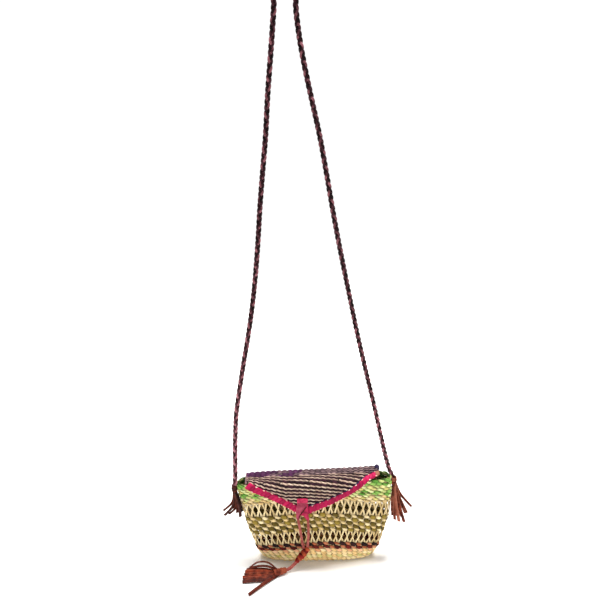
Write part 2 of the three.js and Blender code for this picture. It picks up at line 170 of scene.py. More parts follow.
for light in studio["lights"]:
    aim = Vector(studio["lookAt"]) - Vector(light["at"])
    bpy.ops.object.light_add(
        type="AREA", location=light["at"], rotation=aim.to_track_quat("-Z", "Y").to_euler())
    lamp = bpy.context.object
    lamp.name = light["name"]
    lamp.data.size = light["size"]
    lamp.data.energy = light["watts"]

scene.world = bpy.data.worlds.new("softStudioSky")
scene.world.use_nodes = True
skyTree = scene.world.node_tree
skyShade = skyTree.nodes["Background"]
skyPath = addNode(skyTree, "LightPath", {})  # the backdrop reads white, its light stays softer
skyStrength = addNode(skyTree, "Mix", {
    0: skyPath.outputs["Is Camera Ray"], 2: studio["skyLight"], 3: studio["skySeen"]})
skyShade.inputs["Color"].default_value = linear(studio["skyColour"])
skyTree.links.new(skyStrength.outputs[0], skyShade.inputs["Strength"])
scene.view_settings.view_transform = "Standard"
print("camera, floor and lights set")

# Straw: split stalks, dyed by the hank. The eye sees fine lengthwise fibres, a dull satin face and
# dye that took unevenly from stitch to stitch. Tones are pale, main and dark.
# Shade is painted into the straw too: a darker tone where strands dive in, where rows hold the warps and
# on faces turned into the bag.
straw = {
    "fibreWidth": 0.8,  # real fibres are finer; drawn this coarse so that they show
    "fibreLength": 9.0,
    "roughness": 0.62,
    "gloss": 0.15,
    "deep": 0.3,  # share of the dark tone left as painted shade where strands dive in and on faces turned into the bag
    "dyes": {
        "naturalStraw": ("#FDECBE", "#E6C98C", "#8E682C"),
        "butterStraw": ("#FFEEBC", "#FAD896", "#B28042"),
        "limeStraw": ("#F0E6A6", "#DED27E", "#908438"),
        "salmonStraw": ("#F8CFA6", "#EAA878", "#A45C32"),
        "oliveStraw": ("#9E8636", "#6C5A1A", "#2A2006"),
        "leafGreenStraw": ("#A2CE68", "#64A03C", "#1E400C"),
        "paleGreenStraw": ("#ECF2B4", "#D2DC8C", "#84963C"),
        "terracottaStraw": ("#DA9470", "#B4643E", "#702814"),
        "darkRedStraw": ("#761C12", "#500C06", "#200402"),
        "maroonStraw": ("#3A1214", "#1E0608", "#0C0202"),
        "creamStraw": ("#F0DAC2", "#D6B8A2", "#845C50"),
        # a darker copy of the cream straw: painted shade for the flap rows just below the ridge
        "oatStraw": ("#CDB29E", "#A88C7C", "#64463E"),
        "aubergineStraw": ("#3E1A2A", "#240A14", "#0E0306"),
        "plumStraw": ("#501C46", "#34102C", "#180414"),
        "lilacStraw": ("#6C3866", "#4E2448", "#260C22"),
        "mauveStraw": ("#A48884", "#786062", "#3A2A2E"),
        "duskStraw": ("#3E2434", "#24121E", "#0E0508"),
        "navyStraw": ("#32244A", "#1C122E", "#0A0614"),
        "magentaRaffia": ("#CC1A56", "#9E0C42", "#50041E"),
        "coralRaffia": ("#C08A74", "#9A6450", "#5C2C1E"),
        "rosePaleRaffia": ("#FFE2D4", "#F2C0AC", "#B87C68"),
    },
}


def strawMaterial(name, tones):
    pale, main, dark = [linear(tone) for tone in tones]
    # the colour of the painted shade, a share of the dark tone
    deep = (*[straw["deep"] * channel for channel in dark[:3]], 1.0)
    material, shader = newFinish(name, straw["roughness"], straw["gloss"])
    tree = material.node_tree
    strand = addNode(tree, "UVMap", {}, uv_map="strand")  # millimetres along and around
    fibreScale = (1 / straw["fibreLength"], 1 / straw["fibreWidth"], 1.0)
    fibreMap = addNode(tree, "Mapping", {"Vector": strand.outputs["UV"], "Scale": fibreScale})
    fibres = addNode(tree, "TexNoise", {
        "Vector": fibreMap.outputs["Vector"], "Scale": 1.0, "Detail": 2.0, "Roughness": 0.6})
    fibreTone = addNode(tree, "MapRange", {
        "Value": fibres.outputs["Fac"], "From Min": 0.3, "From Max": 0.6, "To Min": 0.3})
    stitch = addNode(tree, "Attribute", {}, attribute_name="shade")
    lift = addNode(tree, "MapRange", {
        "Value": stitch.outputs["Fac"], "From Min": 0.25, "To Max": 0.85})
    # painted shade, carried by the strands as a point attribute
    paintedShadeNode = addNode(tree, "Attribute", {}, attribute_name="paintedShade")
    bump = addNode(tree, "Bump", {
        "Height": fibres.outputs["Fac"], "Strength": 0.5, "Distance": 0.0003})
    layers = [(fibreTone.outputs["Result"], main), (lift.outputs["Result"], pale),
              (paintedShadeNode.outputs["Fac"], deep)]
    layerColours(tree, shader, dark, layers, bump)
    return material


# Vegetable-dyed leather, cut by hand into laces: a fine pebbled grain, mottled dye, a soft satin
# face and a paler raw edge where the knife went. Tones are lit, main, dark and raw edge.
leather = {
    "grain": 0.7,
    "mottle": 5.0,
    "roughness": 0.55,
    "gloss": 0.1,
    "toneSteps": [(0.5, 0.75), (0.75, 1.05)],  # from dark to main, from main to lit
    "dyes": {
        "pinkLeather": ("#CA3C60", "#AA2248", "#640E28", "#BE5872"),
        "duskyPinkLeather": ("#BA566A", "#9E3A50", "#5C1626", "#BA6876"),
        "roseLeather": ("#B46A60", "#984A44", "#561A18", "#AC6C60"),
        "rustLeather": ("#B04E2C", "#8C3620", "#4C120A", "#A45A3A"),
        "oxbloodLeather": ("#96281C", "#741610", "#3A0806", "#9C4A38"),
        "brownLeather": ("#A4543A", "#7E3824", "#42140C", "#8E4E38"),
        "russetLeather": ("#B06A54", "#8E4E3A", "#4A2014", "#A66A56"),
        "darkBrownLeather": ("#70301E", "#4E1C12", "#240A06", "#603022"),
        "umberLeather": ("#5C302A", "#40201C", "#1C0A08", "#5A3A34"),
        "strapMauve": ("#B87C86", "#925A62", "#42242A", "#B0828A"),
        "strapMaroon": ("#4A1E24", "#2A0E12", "#120507", "#5A2C30"),
        "strapPlum": ("#724850", "#4E2C34", "#221014", "#7A565C"),
    },
}


def leatherMaterial(name, tones):
    lit, main, dark, raw = [linear(tone) for tone in tones]
    material, shader = newFinish(name, leather["roughness"], leather["gloss"])
    tree = material.node_tree
    coords = addNode(tree, "TexCoord", {})
    mottle = addNode(tree, "TexNoise", {
        "Vector": coords.outputs["Object"], "Scale": 1000 / leather["mottle"], "Detail": 3.0})
    grain = addNode(tree, "TexVoronoi", {
        "Vector": coords.outputs["Object"], "Scale": 1000 / leather["grain"]})
    cut = addNode(tree, "Attribute", {}, attribute_name="shade")  # each lace has its own tone
    tone = addNode(tree, "Math", {
        0: cut.outputs["Fac"], 1: 0.5, 2: mottle.outputs["Fac"]}, operation="MULTIPLY_ADD")
    toMain, toLit = [
        addNode(tree, "MapRange", {
            "Value": tone.outputs["Value"], "From Min": low, "From Max": high})
        for low, high in leather["toneSteps"]]
    edge = addNode(tree, "Attribute", {}, attribute_name="edge")
    bump = addNode(tree, "Bump", {
        "Height": grain.outputs["Distance"], "Strength": 0.35, "Distance": 0.0002})
    layers = [(toMain.outputs["Result"], main), (toLit.outputs["Result"], lit), (edge.outputs["Fac"], raw)]
    layerColours(tree, shader, dark, layers, bump)
    return material


finishes = {name: strawMaterial(name, tones) for name, tones in straw["dyes"].items()}
finishes.update({name: leatherMaterial(name, tones) for name, tones in leather["dyes"].items()})
print("materials made:", len(finishes))


# A heap gathers strands of straw or leather as arrays, which become one joined mesh.
def newHeap():
    fields = ("points", "shade", "edge", "paintedShade", "quads", "uv", "slots", "caps", "capSlots", "dyes")
    return {"count": 0, **{field: [] for field in fields}}


# Besides its own tone (shade), a strand can take painted shade: all round, and more on the side that looks
# into the bag.
def addStrand(heap, line, out, halfOut, halfAcross, dye, shade=0.5, paintedShade=0.0, innerPaintedShade=0.0, closed=False,
              sides=8, square=1.0, rawEdge=0.0):
    count = len(line)
    along = heading(line, closed)
    out = np.broadcast_to(np.asarray(out, float), line.shape)
    out = unit(out - along * np.sum(out * along, axis=1, keepdims=True))
    across = np.cross(along, out)
    turn = np.pi + np.arange(sides) * 2 * np.pi / sides  # the seam of the pattern lies inside
    face, side = signedPower(np.cos(turn), square), signedPower(np.sin(turn), square)
    halfOut, halfAcross, shade, paintedShade = [
        np.broadcast_to(value, count)[:, None] for value in (halfOut, halfAcross, shade, paintedShade)]
    points = (line[:, None] + out[:, None] * (halfOut * face)[..., None]
              + across[:, None] * (halfAcross * side)[..., None])

    spans = count if closed else count - 1
    i, j = np.meshgrid(np.arange(spans), np.arange(sides), indexing="ij")
    nextI, nextJ = (i + 1) % count, (j + 1) % sides
    corners = [(i, j), (i, nextJ), (nextI, nextJ), (nextI, j)]
    quads = np.stack([a * sides + b for a, b in corners], axis=-1).reshape(-1, 4) + heap["count"]
    steps = np.linalg.norm(np.roll(line, -1, axis=0) - line, axis=1)
    length = np.concatenate([[0.0], np.cumsum(steps)])
    girth = 2 * np.pi * np.sqrt((halfOut.mean() ** 2 + halfAcross.mean() ** 2) / 2)
    begin, offset = draw.random(2) * 100  # no two strands share their fibres
    ends = [(i, j), (i, j + 1), (i + 1, j + 1), (i + 1, j)]
    uv = [np.stack([length[a] + begin, b * girth / sides + offset], axis=-1) for a, b in ends]

    if dye not in heap["dyes"]:
        heap["dyes"].append(dye)
    slot = heap["dyes"].index(dye)
    heap["points"].append(points.reshape(-1, 3))
    heap["shade"].append(np.repeat(shade, sides))
    heap["edge"].append(np.tile(rawEdge * (np.abs(side) > 0.9), count))
    inner = np.clip(0.25 - 2 * face, 0.0, 1.0)  # the side that looks into the bag, which takes the painted shade of the bag's inside
    heap["paintedShade"].append((paintedShade * (1 - inner) + innerPaintedShade * inner).ravel())
    heap["quads"].append(quads)
    heap["uv"].append(np.stack(uv, axis=-2).reshape(-1, 4, 2))
    heap["slots"].append(np.full(len(quads), slot))
    if not closed:
        first = heap["count"] + np.arange(sides)
        heap["caps"] += [first[::-1].tolist(), (first + (count - 1) * sides).tolist()]
        heap["capSlots"] += [slot, slot]
    heap["count"] += count * sides


def heapPiece(name, heap, slot, *nodes):
    faces = np.concatenate(heap["quads"]).tolist() + heap["caps"]
    mesh = bpy.data.meshes.new(name)
    mesh.from_pydata(place(np.concatenate(heap["points"])).tolist(), [], faces)
    slots = np.concatenate([np.concatenate(heap["slots"]), heap["capSlots"]]).astype(np.int32)
    mesh.polygons.foreach_set("material_index", slots)
    capCorners = sum(len(cap) for cap in heap["caps"])
    uv = np.concatenate([np.concatenate(heap["uv"]).reshape(-1, 2), np.zeros((capCorners, 2))])
    mesh.uv_layers.new(name="strand").data.foreach_set("uv", uv.astype(np.float32).ravel())
    for field in ("shade", "edge", "paintedShade"):
        values = np.concatenate(heap[field]).astype(np.float32)
        mesh.attributes.new(field, "FLOAT", "POINT").data.foreach_set("value", values)
    for dye in heap["dyes"]:
        mesh.materials.append(finishes[dye])
    obj = bpy.data.objects.new(name, mesh)
    scene.collection.objects.link(obj)
    onlyActive(obj)
    bpy.ops.object.shade_smooth()
    dressPiece(obj, slot, *nodes)
    return obj


def dressPiece(obj, slot, *nodes):
    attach(obj, "root")
    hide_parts(*nodes)


# Even steps along a smooth curve through a few points, all of it in millimetres.
def evenSteps(dense, spacing):
    walk = walkAlong(dense)
    count = max(3, int(round(walk[-1] / spacing)) + 1)
    return pointsAt(np.linspace(0.0, walk[-1], count), walk, dense)


def splineThrough(points, perSpan=24):
    points = np.asarray(points, float)
    padded = np.vstack([2 * points[0] - points[1], points, 2 * points[-1] - points[-2]])
    t = np.linspace(0.0, 1.0, perSpan, endpoint=False)[:, None]
    pieces = []
    for before, start, end, after in zip(padded[:-3], padded[1:-2], padded[2:-1], padded[3:]):
        gaps = [np.linalg.norm(b - a) ** 0.5 for a, b in ((before, start), (start, end), (end, after))]
        leave = (start - before) / gaps[0] - (end - before) / (gaps[0] + gaps[1]) + (end - start) / gaps[1]
        reach = (end - start) / gaps[1] - (after - start) / (gaps[1] + gaps[2]) + (after - end) / gaps[2]
        leave, reach = leave * gaps[1], reach * gaps[1]
        pieces.append(start + leave * t + (3 * (end - start) - 2 * leave - reach) * t**2
                      + (2 * (start - end) + leave + reach) * t**3)
    return np.vstack([*pieces, points[-1:]])


# Strap: three leather thongs in a flat braid, from knot to knot over the top bend
strap = {
    "diameter": 5.4,
    "pitch": 18.0,
    "swing": 1.65,
    "weave": 0.8,
    "thongThick": 1.05,
    "thongWide": 1.4,
    "spacing": 1.5,
    "thongs": ("strapMauve", "strapMaroon", "strapPlum"),
    "fade": [(0, 0.95), (90, 0.75), (220, 0.25), (950, 0.2), (1180, 0.6)],  # distance, tone
    "mottle": 0.5,
    "route": [
        (-97, -4, 107), (-96.4, -3, 116), (-96, -1, 133), (-95.3, 0, 161), (-92.9, 0, 201.5),
        (-89.1, 0, 228), (-82.8, 0, 266.5), (-78.3, 0, 291.5), (-72.4, 0, 328), (-67.8, 0, 364),
        (-63.4, 0, 410), (-60.1, 0, 454), (-56, 0, 497), (-53, 0, 528), (-50.3, 0, 568),
        (-46.8, 0, 607), (-44.4, 0, 635), (-43, 0, 655), (-43.6, 0, 668), (-39.6, 0, 680),
        (-32, 0, 684), (-24.4, 0, 680), (-20.4, 0, 668), (-21.6, 0, 655), (-18.3, 0, 625.5),
        (-13, 0, 597), (-6.5, 0, 568), (2.9, 0, 527.5), (10.9, 0, 486), (18.9, 0, 442.5),
        (27.8, 0, 398), (37.8, 0, 351), (48.4, 0, 302.5), (60.5, 0, 252), (70.2, 0, 212.5),
        (79.7, 1, 172), (86.4, 2.6, 144), (92.2, 4, 123), (96.8, 3, 112.5),
    ],
}


def addBraid(heap, middle, braid, facing):
    along = heading(middle)
    out = unit(facing - along * (along @ facing)[:, None])
    aside = np.cross(along, out)
    walked = walkAlong(middle)
    for thong, dye in enumerate(braid["thongs"]):
        phase = 2 * np.pi * (walked / braid["pitch"] + thong / len(braid["thongs"]))
        line = (middle + aside * (braid["swing"] * np.sin(phase))[:, None]
                + out * (braid["weave"] * np.sin(2 * phase))[:, None])
        shade = braid["mottle"] * (draw.random(int(phase[-1]) + 2)[phase.astype(int)] - 0.5)
        shade = np.clip(shade + lookUp(braid["fade"], walked), 0.0, 1.0)
        addStrand(heap, line, out, braid["thongThick"], braid["thongWide"], dye, shade)


strapMiddle = evenSteps(splineThrough(strap["route"]), strap["spacing"])
strapHeap = newHeap()
addBraid(strapHeap, strapMiddle, strap, np.array([0.0, -1.0, 0.0]))
strapPiece = heapPiece("strap_braid", strapHeap, "strap_leather", "strap")

# Closure laces: two flat laces hang from the loop, pass the lower knot and run to the front tassel
laces = {
    "width": 3.2,
    "tailWidth": 4.2,
    "widens": (10, 25),  # z from tail to lace, at the lower knot
    "thickness": 1.3,
    "facing": (0.0, -1.0, 0.45),
    "spacing": 1.2,
    "tail": [(-21.8, -28.2, 12), (-25.6, -30.2, 8.8), (-29.2, -32, 6.2), (-32.8, -33.6, 4.8),
             (-36.4, -35, 4.3)],
    "left": [(-20.6, -24.7, 73), (-18.3, -24.2, 58.2), (-15.5, -23.6, 38.5), (-13.4, -23.4, 25)],
    "right": [(-8.4, -24.4, 71.3), (-7.8, -24.0, 58), (-7.8, -23.8, 45), (-8.6, -23.4, 27.5)],
    "inKnot": (-15.6, -25, 18.6),
}


def addLace(name, route, dye, nodes):
    middle = evenSteps(splineThrough(route), laces["spacing"])
    heap = newHeap()
    width = np.interp(middle[:, 2], laces["widens"], (laces["tailWidth"], laces["width"]))
    addStrand(heap, middle, laces["facing"], laces["thickness"] / 2, width / 2, dye,
              sides=12, square=0.55, rawEdge=0.6)
    return heapPiece(name, heap, "pink_leather", *nodes), middle


leftLace, leftMiddle = addLace(
    "closure_lace_left", [*laces["left"], laces["inKnot"], *laces["tail"]], "roseLeather",
    ["closure_leg_left", "closure_tail"])
rightLace, rightMiddle = addLace(
    "closure_lace_right", laces["right"], "roseLeather", ["closure_leg_right"])
print("closure laces hung")

# Basket: twined rows over 48 pairs of warps, which cross in two openwork bands
basket = {
    "wall": 2.6,
    "warpPairs": 48,
    "columns": ("leftZ", "rightZ", "crown", "backCrown", "backRise",
                "left", "right", "front", "back", "power"),
    "levels": {
        "base": (2.2, 2.2, 0, 0, 0, 60, 69.5, 14, 14, 3.2),
        "turn": (5, 5, 1.5, 1, 0, 66, 75.5, 15.3, 15.3, 3.1),
        "darkBottom": (13, 14, 7, 5.5, 0, 71.5, 82, 15.7, 15.7, 2.8),
        "lowerOpen": (20, 22, 9.5, 8.5, 0, 74.5, 85, 16, 16, 2.6),
        "olive": (36.5, 37.5, 11, 10, 0, 79.5, 88.5, 16.5, 16.5, 2.5),
        "upperOpen": (63, 61, 11, 9, 0, 87.2, 94.2, 17, 16.5, 2.5),
        "natural": (79.5, 80, 12.5, 8.5, 0, 90, 95.8, 16.6, 15.6, 2.5),
        "slot": (98, 101.5, 9, 5.4, 2.5, 94.2, 95.8, 15.8, 14, 2.5),
        "green": (103, 107, 7.5, 4.5, 4, 95.3, 95.3, 15.4, 13.4, 2.5),
        "rim": (108.5, 114.5, 5.5, 2.4, 4.6, 96.4, 94.6, 15, 12.8, 2.5),
    },
    "perStitch": 8,
    "gridPerLevel": 20, "gridPerStep": 6,
}
levelNames = list(basket["levels"])
levelTable = np.array(list(basket["levels"].values()), float)
allSteps = 2 * basket["warpPairs"]


def levelAt(height):
    row = [np.interp(height, range(len(levelTable)), values) for values in levelTable.T]
    return dict(zip(basket["columns"], row))


def rowPoint(level, x, side, inset=0.0):
    left, right = inset - level["left"], level["right"] - inset
    along = np.clip((2 * x - left - right) / (right - left), -1.0, 1.0)
    depth = (level["front"] if side < 0 else level["back"]) - inset
    bulge = (1 - np.abs(along) ** level["power"]) ** (1 / level["power"])
    crown = level["crown" if side < 0 else "backCrown"] * (1 - along**2)
    if side > 0:
        crown = crown + level["backRise"] * along**2 * (1 - along**12)  # keeps the back rim straight
    z = level["leftZ"] + (level["rightZ"] - level["leftZ"]) * (along + 1) / 2 + crown
    return np.stack([x, side * depth * bulge, z], axis=-1)


# One height of the basket: half of the points along the front, half back along the other side.
def loopPoints(level, count, inset):
    halves = []
    for side in (-1, 1):
        along = side * signedPower(np.cos(np.linspace(0.0, np.pi, 400)), 2 / level["power"])
        left, right = inset - level["left"], level["right"] - inset
        dense = rowPoint(level, left + (right - left) * (along + 1) / 2, side, inset)
        walk = walkAlong(dense)
        halves.append(pointsAt(np.linspace(0.0, walk[-1], count // 2, endpoint=False), walk, dense))
    return np.vstack(halves)


topLevel = len(levelTable) - 1
wallGrid = np.stack([
    loopPoints(levelAt(height), basket["gridPerStep"] * allSteps, basket["wall"] / 2)
    for height in np.linspace(0, topLevel, basket["gridPerLevel"] * topLevel + 1)])
wallGrid = np.concatenate([wallGrid, wallGrid[:, :1]], axis=1)  # closed round the basket


def wallAt(height, step):
    column = np.mod(step, allSteps) * basket["gridPerStep"]
    return gridAt(wallGrid, height * basket["gridPerLevel"], column)


def wallOut(height, step):  # square to the wall, from points a little to each side
    along = wallAt(height, step + 0.4) - wallAt(height, step - 0.4)
    up = wallAt(height + 0.06, step) - wallAt(height - 0.06, step)
    return unit(np.cross(along, up))


# A rope's shares are the widths of its two strands, and waists how far each narrows between stitches.
# drift is the stitches by which each row is set off from the one below.
# Two columns paint shade into the colour: one where a strand turns back between stitches, and inside, on
# the faces turned into the bag.
ropeColumns = ("slant", "depth", "thick", "wide", "shares", "waists", "paintedTuckShade", "uneven", "inside", "drift")
ropeTable = {
    "body": (0.2, 1.0, 0.9, 0.45, (0.88, 1.2), (0.55, 0.9), 0.95, 0.4, 0.2, 1.18),
    "rim": (0.16, 1.0, 0.9, 0.5, (0.95, 1.05), (0.6, 0.9), 0.8, 0.5, 0.8, 1.55),
    "base": (0.26, 0.8, 0.9, 0.5, (0.95, 1.05), (0.7, 0.85), 0.42, 0.25, 0.2, 1.2),
    "flap": (0.26, 0.45, 0.75, 0.47, (1, 1), (0.62, 0.62), 0.55, 0.2, 0.7, 0),
    "ridge": (0.2, 0.8, 0.95, 0.5, (1, 1), (0.62, 0.62), 0.5, 0.2, 0.7, 0),
}
ropes = {name: dict(zip(ropeColumns, values)) for name, values in ropeTable.items()}


# Two strands wind round each other, half a turn for each stitch, so their dyes take turns in front.
def addTwine(heap, middle, out, tall, turns, dyes, rope, closed=False):
    up = unit(np.cross(out, heading(middle, closed)))
    rounds = int(round((turns[-1] - turns[0]) / 2)) if closed else int(turns[-1] / 2) + 4
    for strand, (dye, share, waist) in enumerate(zip(dyes, rope["shares"], rope["waists"])):
        angle = np.pi * (turns + strand)
        facing = np.cos(angle)
        stitch = np.floor((turns + strand) / 2 + 0.5).astype(int) % rounds
        shade, swell, stray = [draw.random(rounds)[stitch] for field in range(3)]
        plump = waist + (1 - waist) * np.abs(facing)
        lift = tall * (rope["uneven"] * (stray - 0.5) * np.abs(facing) - rope["slant"] * np.sin(angle))
        line = middle + out * (rope["depth"] * facing)[:, None] + up * lift[:, None]
        wide = rope["wide"] * share * tall * plump * (1 + rope["uneven"] * (swell - 0.5) * np.abs(facing))
        # painted shade, darkest where the strand dives to the back of the row
        paintedShade = rope["paintedTuckShade"] * (1 - np.clip(facing, 0.0, 1.0)) ** 2
        addStrand(heap, line, out, rope["thick"] * plump, wide, dye, shade, paintedShade, rope["inside"], closed)


# Rows of each band from below up; the two dyes of a row take turns.
twinedBands = {
    "basket_base_rows": {
        "from": "base", "to": "darkBottom", "rope": "base",
        "rows": [("butterStraw", "butterStraw"), ("butterStraw", "limeStraw"),
                 ("butterStraw", "butterStraw"), ("butterStraw", "salmonStraw")],
    },
    "basket_dark_rows": {
        "from": "darkBottom", "to": "lowerOpen", "rope": "body",
        "rows": [("terracottaStraw", "darkRedStraw"), ("terracottaStraw", "maroonStraw")],
    },
    "basket_olive_rows": {
        "from": "olive", "to": "upperOpen", "rope": "body",
        "rows": [("naturalStraw", "oliveStraw")] * 5,
    },
    "basket_green_rows": {
        "from": "natural", "to": "rim", "rope": "rim",
        "rows": [("naturalStraw", "naturalStraw"), ("limeStraw", "naturalStraw"),
                 ("paleGreenStraw", "naturalStraw"), ("paleGreenStraw", "leafGreenStraw"),
                 ("paleGreenStraw", "leafGreenStraw"), ("limeStraw", "paleGreenStraw"),
                 ("paleGreenStraw", "limeStraw"), ("leafGreenStraw", "leafGreenStraw"),
                 ("paleGreenStraw", "leafGreenStraw")],
    },
}
levelHeights = levelTable[:, :2].mean(axis=1) + levelTable[:, 2]  # z in the middle of the front


def heightAt(z):
    return np.interp(z, levelHeights, np.arange(len(levelHeights)))


def addBand(heap, band):
    low, high = [levelHeights[levelNames.index(band[end])] for end in ("from", "to")]
    edges = np.linspace(low, high, len(band["rows"]) + 1)
    step = np.arange(0.0, allSteps, 2 / basket["perStitch"])
    rope = ropes[band["rope"]]
    for row, dyes in enumerate(band["rows"]):
        bottom, middle, top = [heightAt(z) + 0 * step for z in (
            edges[row], (edges[row] + edges[row + 1]) / 2, edges[row + 1])]
        tall = np.linalg.norm(wallAt(top, step) - wallAt(bottom, step), axis=1)
        turns = (step - 1) / 2 + row * rope["drift"]
        addTwine(heap, wallAt(middle, step), wallOut(middle, step), tall, turns, dyes, rope, True)


# Underside: rows twined round and round, from the edge of the base to its middle line
baseRows = {"insets": (2.6, 7.0, 11.2), "stitches": 40, "tall": 4.7, "z": 1.9}


def addUnderside(heap):
    base = levelAt(0.0)
    for inset in baseRows["insets"]:
        loop = loopPoints(base, baseRows["stitches"] * basket["perStitch"], inset)
        loop[:, 2] = baseRows["z"]
        turns = np.arange(len(loop)) / basket["perStitch"]
        down = np.tile([0.0, 0.0, -1.0], (len(loop), 1))
        tall = np.full(len(loop), baseRows["tall"])
        addTwine(heap, loop, down, tall, turns, ("butterStraw", "naturalStraw"), ropes["base"], True)


for name, band in twinedBands.items():
    bandHeap = newHeap()
    addBand(bandHeap, band)
    if band["from"] == "base":
        addUnderside(bandHeap)
    heapPiece(name, bandHeap, "straw", "bag_body")
    print("twined", name)

# Warps: stalks in pairs, held by the rows, which part and cross in the openwork
warps = {
    "pairHalf": 0.3,  # half steps from the middle of the pair
    "halfThick": 0.65,
    "halfWides": (0.8, 0.95),  # in the lower and the upper openwork
    "rowWide": 2.3,  # broader where the rows hold them, and painted darker there as shade
    "rowPaintedShade": 0.6,
    "swell": [(-6, 0.15), (4, 1.8)],  # y, swell: the back is closer set
    "swellShare": [(66, 0.5), (82, 1.0)],  # distance from the middle, share of the swell
    "shades": (0.3, 1.0),
    "crossOut": 0.85,
    "sway": 0.3,
    "freeing": 0.3,  # less lets a stalk go sooner from the rows
    # painted shade on the warps' faces turned into the bag
    "inside": 0.2,
    "perOpenBand": 12,
    "perRowBand": 4,
}
openBands = [levelNames.index("lowerOpen"), levelNames.index("upperOpen")]


def addWarp(heap, pair, side):
    spans = []  # height, step, distance out, how free of the rows, half width
    at = 2 * pair + 1
    for row in range(len(levelNames) - 1):
        count = warps["perOpenBand"] if row in openBands else warps["perRowBand"]
        t = np.linspace(0.0, 1.0, count, endpoint=False)
        sway = warps["sway"] * (draw.random() - 0.5)
        start = at + side * warps["pairHalf"]
        if row in openBands:
            at += 2 * side
            across = at - side * warps["pairHalf"] - start
            arc = np.sin(np.pi * t)
            slim = warps["halfWides"][openBands.index(row)]
            spans.append([row + t, start + across * t + sway * arc, side * warps["crossOut"] * arc,
                          arc ** warps["freeing"], slim + 0 * t])
            side = -side
        else:
            spans.append([row + t, start + 0 * t, 0 * t, 0 * t, warps["rowWide"] + 0 * t])
    height, step, out, free, slim = np.concatenate(spans, axis=1)
    normal = wallOut(height, step)
    line = wallAt(height, step) + normal * out[:, None]
    swell = lookUp(warps["swellShare"], np.abs(line[:, 0])) * lookUp(warps["swell"], line[:, 1])
    halfWide = warps["rowWide"] + (slim * (1 + swell) - warps["rowWide"]) * free
    # painted shade on the warp where the rows hold it, fading as it comes free
    addStrand(heap, line, normal, warps["halfThick"], halfWide, "naturalStraw", shadeIn(*warps["shades"]),
              warps["rowPaintedShade"] * (1 - free), warps["inside"], sides=6)


warpHeap = newHeap()
for pair in range(basket["warpPairs"]):
    for side in (-1, 1):
        addWarp(warpHeap, pair, side)
heapPiece("basket_warps", warpHeap, "straw", "bag_body")
print("warps set")

# Flap: fine rows of cream and dark purple straw, from the back rim over the mouth to the tip
flap = {
    "left": -83.0, "tip": -14.0, "right": 79.0,
    "thickness": 2.2,
    "hemShare": 0.55,
    "stations": ("hem", "backRim", "ridge", "frontRim", "middle", "low"),  # from the back to the tip
    "perStation": 24,
    "lowLevels": 1.5,  # levels from the middle station down to the low one
    "ridge": [(-84, 6, 114.3, 9), (0, 5.5, 117, 12.6), (81, 8.5, 121.5, 12)],  # x, y, z, hem's y
    "edge": [(-84, 3), (-54, 18), (-14, 44), (18.5, 30.5), (41, 17.5), (63, 1.5), (79.5, -6.5)],  # x, drop
    "spread": [(-84, 0.5), (-60, 0.8), (-35, 1.0), (20, 1.0), (80, 0.92)],  # x, share of the row pitch
    "slope": 0.13,  # the rows below the ridge run down to the right
    "standOff": {"back": 0.6, "rim": 1.2, "middle": 2.0, "low": 5.4},
    "rowPitch": 2.35,
    "stitch": 6.7,
    "perStitch": 6,
    "topRows": 8, "backRows": 3,  # along the ridge and behind it, in plum and mauve
    "frontRows": (-12, 26),  # enough to reach both corners; what lies beyond is left out
    "underEdging": 0.8,
    "paleTall": 0.86, "darkTall": 1.1,  # cream rows are the narrower ones
    "ridgePaleTall": 0.9, "ridgeDarkTall": 1.1,
    "shadedCreamReach": 11.0,  # cream rows take a darker copy of the cream this far below the ridge: painted shade on the flap's top
    "plumStretches": ((-99, -50), (-36, -20)),  # elsewhere the plum is a grey dusk
    "plumDrift": 7.0, "plumLap": 1.2,  # the dyes change at another place in each row
    "selvage": {"half": 1.2, "knob": 3.2, "knobLength": 7.0, "knobIn": 1.2, "knobAhead": 1.5},
    "columnStep": 1.5,
    "lengthStep": 0.5,
}


def flapLine(x):
    ridgeX, *ridgeRest = np.transpose(flap["ridge"])
    ridgeY, ridgeZ, hemY = [np.interp(x, ridgeX, values) for values in ridgeRest]
    rim, natural = levelNames.index("rim"), levelNames.index("natural")
    off = flap["standOff"]

    def away(height, side, distance):
        return rowPoint(levelAt(height), x, side) + (0.0, side * distance, 0.0)

    def backEdge(height):
        point = away(height, 1, off["back"])
        point[1] = max(point[1], hemY)
        return point

    lift = np.array([0.0, 0.0, off["rim"]])
    return np.array([
        backEdge(rim - flap["hemShare"]), backEdge(rim) + lift / 2, (x, ridgeY, ridgeZ),
        away(rim, -1, off["rim"]) + lift, away(natural, -1, off["middle"]),
        away(natural - flap["lowLevels"], -1, off["low"])])


flapColumns = np.arange(flap["left"], flap["right"] + 0.1, flap["columnStep"])
flapCurves = [splineThrough(flapLine(x), flap["perStation"]) for x in flapColumns]
flapWalks = [walkAlong(curve) for curve in flapCurves]
flapReach = np.arange(0.0, max(walk[-1] for walk in flapWalks), flap["lengthStep"])
flapGrid = np.stack([pointsAt(flapReach, walk, curve) for curve, walk in zip(flapCurves, flapWalks)])


def flapAt(x, reach):
    return gridAt(flapGrid, (x - flap["left"]) / flap["columnStep"], reach / flap["lengthStep"])


def flapOut(x, reach):  # square to the flap, likewise
    down = flapAt(x, reach + 0.8) - flapAt(x, reach - 0.8)
    aside = flapAt(x + flap["columnStep"], reach) - flapAt(x - flap["columnStep"], reach)
    return unit(np.cross(down, aside))


def stationReach(station, x):
    index = flap["stations"].index(station) * flap["perStation"]
    return np.interp(x, flapColumns, [walk[index] for walk in flapWalks])


def edgeReach(x):
    return stationReach("frontRim", x) + lookUp(flap["edge"], x)


